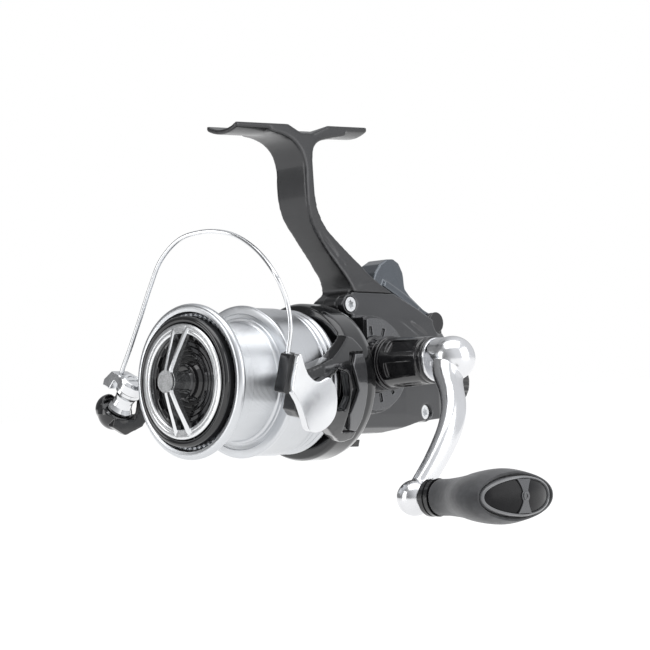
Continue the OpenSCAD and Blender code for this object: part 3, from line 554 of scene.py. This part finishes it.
def make_drag_knob():
    """Black body of the drag knob: hub, stepped cup, notched shelf and outer rim."""
    steps = 240
    notches = 12
    hub = [(1.8, -53.2), (1.8, -62.9)] + arc(4.5, -63.1, 0.6, -90, 0, 4) + [(5.2, -62.2)]
    cup = []
    for i in range(4):
        r = 5.9 + 1.4 * i
        drop = 0.168 * i
        cup += [(r, -61.35), (r + 0.15, -61.55 - drop), (r + 1.05, -61.6 - drop),
                (r + 1.2, -61.4)]
    rim = arc(17.45, -62.95, 1.05, -150, 0, 8) + [(18.6, -61.1)]
    back = [(15.4, -61.1), (15.4, -59.4), (13.6, -59.4), (13.6, -55.6), (6.6, -55.6),
            (6.6, -53.2)]
    rings = []
    for k in range(steps):
        a = TAU * k / steps
        notch = 0.5 + 0.5 * math.cos(notches * a)
        shelf = 11.9 + 0.85 * max(0.0, min(1.0, (notch - 0.35) * 6))
        profile = (hub + cup + [(shelf - 0.35, -61.5), (shelf - 0.2, -62.75), (13.25, -62.85),
                                (13.35, -61.9), (16.35, -61.9)] + rim + back)
        rings.append([(r * math.cos(a), y, r * math.sin(a)) for r, y in profile])
    shape = Shape()
    shape.loft(rings, closed=True)
    shape.piece("drag_cup", "drag", MATERIALS["knob_black"], WORKS,
                ["drag_knob"], crease=30, bevel=0.05)


def make_drag_ring():
    """Polished bezel of the drag knob, with a groove in its face."""
    shape = Shape()
    shape.turn([(13.4, -61.9), (16.3, -61.9), (16.3, -63.7)] + arc(15.85, -63.85, 0.45, 0, -90, 4)
               + [(15.1, -64.3), (14.95, -64.12), (14.6, -64.12), (14.45, -64.3)]
               + arc(13.9, -63.9, 0.4, -90, -180, 4) + [(13.4, -63.6)], steps=192)
    shape.piece("drag_bezel", "drag", MATERIALS["polished_alloy"], WORKS,
                ["drag_ring"], crease=30, bevel=0.04)


def rib(side, end):
    """One rib of the grip bar, from the hub out to the bezel, as rings of six points."""
    stations = [  # along z, sideways x, face y, half width, depth
        (1.6, 0.95, -69.35, 0.6, 2.6), (3.4, 1.1, -69.3, 0.62, 2.9),
        (7.5, 1.6, -67.7, 0.68, 2.5), (11.0, 2.1, -66.1, 0.76, 2.1),
        (13.6, 2.5, -65.0, 0.86, 1.9), (15.0, 2.8, -64.35, 0.95, 1.3),
        (15.9, 3.0, -63.95, 1.0, 0.8)]
    rings = []
    for z, x, y, half, depth in stations:
        rings.append([Vector((side * (x - half), y + depth, end * z)),
                      Vector((side * (x - half * 0.9), y + 0.25, end * z)),
                      Vector((side * (x - half * 0.35), y, end * z)),
                      Vector((side * (x + half * 0.45), y + 0.05, end * z)),
                      Vector((side * (x + half), y + 0.7, end * z)),
                      Vector((side * (x + half), y + depth, end * z))])
    return rings


def make_drag_bar():
    """Grip bar of the drag knob: four ribs, two end feet and the hub's collar."""
    shape = Shape()
    for end in (1, -1):
        for side in (1, -1):
            shape.loft(rib(side, end))
        shape.loft([[(-2.6, y, end * 15.6), (2.6, y, end * 15.6), (1.9, y, end * 13.5),
                     (-1.9, y, end * 13.5)] for y in (-64.5, -63.5)])
    shape.turn([(2.05, -62.9), (3.05, -62.9), (3.05, -69.2), (2.85, -69.4), (2.05, -69.4)],
               steps=64)
    shape.piece("drag_grip", "drag", MATERIALS["polished_alloy"], WORKS,
                ["drag_bar"], crease=24, bevel=0.06)


# ---------------------------------------------------------------- bail


def make_wire():
    """Bail wire, bowed round the front of the spool."""
    line = [(-32.6, -58.7, -3), (-32.2, -58.6, -0.4), (-30.8, -57.8, 5.4), (-29.1, -56.4, 14.4),
            (-27.4, -55, 24), (-25.1, -53.7, 32.4), (-20, -52, 38.8), (-13, -50.6, 41.6),
            (-5.6, -49.2, 42.4), (2.3, -48.9, 41.3), (12.2, -50.2, 37.8), (21.7, -52.3, 32.4),
            (24.6, -50, 25.6), (26.3, -49.3, 18.5), (26.6, -49.6, 12.2), (26.6, -49.8, 7.4)]
    shape = Shape()
    shape.tube(smooth_points(line, 14), 0.65, 24, (0.1, 1, 0.1))
    shape.piece("wire_bow", "bail", MATERIALS["bail_wire_steel"], ROTOR,
                ["bail_wire"], crease=60)


def make_cam():
    """Plated arm that carries the wire, with the holder of the wire's end, coloured black as
    painted shade for its dark front faces.
    """
    outline = [(-50.8, 1.6), (-50.3, 7), (-49.7, 11.2), (-48.6, 11.3), (-47.4, 8.9), (-45.4, 6),
               (-42.8, 4.3), (-40.6, 4.1), (-38.6, 4.9), (-37.2, 5.2), (-35.6, 4.2),
               (-34.1, 2.2), (-33.1, -1.5), (-33.3, -5.4), (-35.6, -8.4), (-39.5, -10.2),
               (-43.2, -9.6), (-45.2, -6.4), (-47.6, -2.4), (-49.7, 0)]
    plate = Shape()
    plate.slab_x(closed_smooth(outline, 6), 28.9, 31.25)
    cam = plate.piece("bail_cam_plate", "bail", MATERIALS["bail_chrome"], ROTOR,
                      ["bail_cam"], crease=40)
    melt(cam, 0.16, 5)
    # Painted shade: the holder is coloured black to stand in for the shade on the front faces at
    # the end of the plated arm.
    tab = [(-52, 0.6), (-51.6, 5), (-51, 10.5), (-50, 11.3), (-48.7, 11.2), (-48.4, 5),
           (-48.5, 1)]
    holder = Shape()
    holder.slab_x(closed_smooth(tab, 5), 25, 29.0)
    holder.piece("bail_cam_holder_painted_shade", "bail", MATERIALS["black_gloss"], ROTOR,
                 crease=40, bevel=0.2)


# ---------------------------------------------------------------- crank


FOLD_X = joints["handle_fold"]["pos_m"][0] / MM
FOLD_END = joints["handle_fold"]["range_deg"][1]
FOLD_FACE = 2.85  # how far the arm's head reaches from the fold's axis towards the collar
FOLD_STEPS = 8


def clear_of_fold(point):
    """Keeps a point of the arm's head off the collar at every angle of the fold."""
    out = Vector(point)
    for k in range(FOLD_STEPS + 1):
        a = math.radians(FOLD_END * k / FOLD_STEPS)
        normal = Vector((-math.cos(a), 0, -math.sin(a)))
        depth = (out - Vector((FOLD_X, 0, 0))).dot(normal) - FOLD_FACE
        if depth > 0:
            out -= normal * depth
    return out


def power(value, exponent):
    """A power that keeps the sign; an oval of such sines and cosines is squarer or leaner."""
    return math.copysign(abs(value) ** exponent, value)


def make_arm():
    """Polished crank arm: dome over the folding hinge, flat sided bar and end ball."""
    line = [(42.9, 0, 0.6), (44.4, 0, -3), (46.2, 0, -6.6), (48.6, 0, -10), (51.6, 0, -14),
            (54.6, 0, -19.4), (56.3, 0, -25.6), (56.6, 0, -32), (56.2, 0, -38.4),
            (55.4, 0, -44.6), (55.1, 0, -47.4)]
    path = smooth_points(line, 6)
    sides = 40
    up = Vector((0, 1, 0))
    rings = []
    for i, (point, along) in enumerate(zip(path, directions(path))):
        across = along.cross(up).normalized()
        s = i / (len(path) - 1)
        wide = 5.4 - 2.3 * min(1, s * 1.25)
        thick = 3.3 - 1.0 * s + 1.4 * (1 - s) ** 5
        rings.append([point + up * wide * power(math.cos(TAU * k / sides), 0.7)
                      + across * thick * power(math.sin(TAU * k / sides), 0.8)
                      for k in range(sides)])
    shape = Shape()
    shape.loft(rings)
    head = Shape()
    head.ball((44.8, 0, 0), 6.5)
    head.turn([(0.05, 39.6), (6.0, 39.6), (6.3, 39.9), (6.3, 44.6), (0.05, 45.2)], 48, "x")
    shape.add([clear_of_fold(v) for v in head.verts], head.faces)
    shape.ball((55.1, 0, -48.8), 5.0)
    arm = shape.piece("crank_arm", "arm", MATERIALS["arm_alloy"], ARM,
                      ["handle_arm"], crease=60)
    melt(arm, 0.24, 10)


def leaf(x, a, b, count=72):
    """Pointed oval section of the grip at x, with half axes a and b."""
    return [Vector((x, a * power(math.cos(TAU * k / count), 1.15),
                    b * power(math.sin(TAU * k / count), 0.95))) for k in range(count)]


def make_grip():
    """Rubber grip: leaf sections from the neck out to the rim round its end cap."""
    line = [(61, 4.2, 4.2), (64.1, 4.25, 4.25), (64.6, 4.9, 4.9), (68, 5.5, 5), (72, 7.4, 5.4),
            (76, 10.4, 6), (80, 13.5, 6.8), (84, 15.7, 7.3), (87, 16.35, 7.35), (89.4, 15.9, 6.9),
            (90.8, 15.4, 6.5)]
    rings = [leaf(*p) for p in smooth_points(line, 6)]
    rings += [leaf(90.95, 14.9, 6.0), leaf(90.4, 14.4, 5.6), leaf(89.2, 14.1, 5.4)]
    shape = Shape()
    shape.loft(rings)
    shape.piece("grip_body", "grip", MATERIALS["knob_rubber"], KNOB, ["knob"],
                crease=50)


CAP_A, CAP_B = 14.0, 5.3  # half axes of the grip's domed end cap
BRIDGE_Z = 4.5


def dome(y, z):
    """Height of the end cap's dome over (y, z)."""
    return 94.4 - 3.5 * (abs(y) / CAP_A) ** 1.9 - 0.7 * (abs(z) / CAP_B) ** 2


def dome_ring(a, b, lower=0.0):
    """Pointed oval that follows the dome, or lies below it."""
    return [Vector((dome(p.y, p.z) - lower, p.y, p.z)) for p in leaf(0, a, b)]


def make_cap_rim():
    """Raised edge of the end cap, closed by a sunk floor."""
    rings = [leaf(89.4, CAP_A, CAP_B), dome_ring(CAP_A, CAP_B, 0.5), dome_ring(13.9, 5.2, 0.12),
             dome_ring(13.7, 5.05), dome_ring(13.2, 4.75, 0.02), dome_ring(13.0, 4.65, 0.3),
             dome_ring(12.9, 4.6, 0.9)]
    rings += [dome_ring(12.9 * size, 4.6 * size, 0.95) for size in (0.85, 0.6, 0.35, 0.12)]
    rim = Shape()
    rim.loft(rings)
    rim.piece("cap_rim", "grip", MATERIALS["cap_plastic"], KNOB, ["knob_cap"],
              crease=40)


def make_cap_panel():
    """Dark inlay within the rim."""
    rings = [dome_ring(12.85, 4.55, 1.0), dome_ring(12.8, 4.5, 0.5)]
    rings += [dome_ring(12.8 * size, 4.5 * size, 0.4) for size in (0.9, 0.7, 0.45, 0.2, 0.05)]
    panel = Shape()
    panel.loft(rings)
    panel.piece("cap_panel", "grip", panel_plastic(), KNOB, crease=40)


def make_cap_bridge():
    """Waisted bar across the inlay, with a round hub and its eyelet."""
    count = 24
    hub = 1.55
    rings = []
    for k in range(count + 1):
        z = -BRIDGE_Z + 2 * BRIDGE_Z * k / count
        half = 0.8 + 1.9 * (abs(z) / BRIDGE_Z) ** 1.8
        if abs(z) < hub:
            half = max(half, math.sqrt(hub * hub - z * z))
        top = dome(0, z) - 0.12
        rings.append([Vector((top - 0.75, -half, z)), Vector((top, -half, z)),
                      Vector((top, half, z)), Vector((top - 0.75, half, z))])
    bridge = Shape()
    bridge.loft(rings)
    bridge.piece("cap_bridge", "grip", MATERIALS["ring_grey"], KNOB, crease=30,
                 bevel=0.08)
    hole = Shape()
    hole.turn([(0.55, 93.6), (1.1, 93.6), (1.1, 94.42), (0.98, 94.5), (0.62, 94.5),
               (0.55, 94.42)], steps=48, axis="x")
    hole.piece("cap_eyelet", "grip", MATERIALS["ring_grey"], KNOB, crease=30)


make_spool()
make_drag_knob()
make_drag_ring()
make_drag_bar()
make_wire()
make_cam()
make_arm()
make_grip()
make_cap_rim()
make_cap_panel()
make_cap_bridge()

# ---------------------------------------------------------------- stage

# places in metres, colours linear, light in watts

FLOOR_Z = cad_low.z - 0.03
FLOOR_HALF = 6.0
FLOOR_GLOW = 0.86
BRIGHT_SIDE = (0.75, 0.5, 0.42)
DARK_STUDIO = (0.30, (0.22, 0.222, 0.226, 1))
PALE_STUDIO = (0.74, (0.78, 0.79, 0.81, 1))
LENS_MM = 121.8
CAMERA_PLACE = (0.4610, -0.45865, -0.07464)
CAMERA_BACK = (0.70126, -0.71243, -0.02604)
CAMERA_RIGHT = (0.70969, 0.70110, -0.06933)
SOFTBOXES = (  # name, place from the middle of the reel, width, height, power
    ("top_box", (0.1, -0.1, 0.75), 0.9, 0.6, 3.2),
    ("right_box", (0.85, 0.35, 0.25), 0.7, 0.9, 3.2),
    ("front_box", (-0.45, -0.85, 0.2), 0.4, 0.8, 2.4))


def make_floor():
    """Glowing pale sheet below the reel."""
    mesh = bpy.data.meshes.new("floor")
    corners = [(-1, -1), (1, -1), (1, 1), (-1, 1)]
    mesh.from_pydata([(x * FLOOR_HALF, y * FLOOR_HALF, FLOOR_Z) for x, y in corners], [],
                     [(0, 1, 2, 3)])
    floor = bpy.data.objects.new("floor", mesh)
    bpy.context.scene.collection.objects.link(floor)
    m = Nodes("pale_floor", (0.22, 0.22, 0.22), 0.0, 0.8)
    m.tint(m.noise(3, 2), 0.99, 1.01)
    m.shader.inputs["Emission Color"].default_value = (1, 1, 1, 1)
    m.shader.inputs["Emission Strength"].default_value = FLOOR_GLOW
    floor.data.materials.append(m.material)


def softbox(name, centre, target, width, height, watts):
    """A rectangular light at a place, facing a target."""
    light = bpy.data.lights.new(name, "AREA")
    light.shape = "RECTANGLE"
    light.size = width
    light.size_y = height
    light.energy = watts
    obj = bpy.data.objects.new(name, light)
    bpy.context.scene.collection.objects.link(obj)
    obj.location = centre
    obj.rotation_euler = (target - centre).to_track_quat("-Z", "Y").to_euler()


def make_world():
    """Pale studio: bright towards one side, darker towards the other, plain behind."""
    world = bpy.data.worlds.new("studio")
    bpy.context.scene.world = world
    world.use_nodes = True
    tree = world.node_tree
    tree.nodes.clear()
    out = tree.nodes.new("ShaderNodeOutputWorld")
    coordinates = tree.nodes.new("ShaderNodeTexCoord")
    side = tree.nodes.new("ShaderNodeVectorMath")
    side.operation = "DOT_PRODUCT"
    side.inputs[1].default_value = Vector(BRIGHT_SIDE).normalized()
    ramp = tree.nodes.new("ShaderNodeValToRGB")
    for stop, (position, colour) in zip(ramp.color_ramp.elements, (DARK_STUDIO, PALE_STUDIO)):
        stop.position = position
        stop.color = colour
    half = tree.nodes.new("ShaderNodeMath")
    half.operation = "MULTIPLY_ADD"
    half.inputs[1].default_value = 0.5
    half.inputs[2].default_value = 0.5
    studio = tree.nodes.new("ShaderNodeBackground")
    plain = tree.nodes.new("ShaderNodeBackground")
    plain.inputs["Color"].default_value = (1, 1, 1, 1)
    path = tree.nodes.new("ShaderNodeLightPath")
    mix = tree.nodes.new("ShaderNodeMixShader")
    links = tree.links
    links.new(coordinates.outputs["Generated"], side.inputs[0])
    links.new(side.outputs["Value"], half.inputs[0])
    links.new(half.outputs[0], ramp.inputs[0])
    links.new(ramp.outputs[0], studio.inputs["Color"])
    links.new(path.outputs["Is Camera Ray"], mix.inputs[0])
    links.new(studio.outputs[0], mix.inputs[1])
    links.new(plain.outputs[0], mix.inputs[2])
    links.new(mix.outputs[0], out.inputs[0])


def make_camera():
    """Long lens from the front, on the side of the spool and the handle."""
    camera = bpy.data.cameras.new("camera")
    camera.sensor_width = 36.0
    camera.lens = LENS_MM
    camera.clip_start = 0.01
    camera.clip_end = 20
    obj = bpy.data.objects.new("camera", camera)
    bpy.context.scene.collection.objects.link(obj)
    back = Vector(CAMERA_BACK).normalized()
    right = Vector(CAMERA_RIGHT)
    right = (right - right.dot(back) * back).normalized()
    up = back.cross(right)
    matrix = Matrix((right, up, back)).transposed().to_4x4()
    matrix.translation = Vector(CAMERA_PLACE)
    obj.matrix_world = matrix
    bpy.context.scene.camera = obj


make_floor()
make_world()
make_camera()
middle = (cad_low + cad_high) / 2
for name, offset, width, height, watts in SOFTBOXES:
    softbox(name, middle + Vector(offset), middle, width, height, watts)
bpy.context.scene.view_settings.view_transform = "Standard"
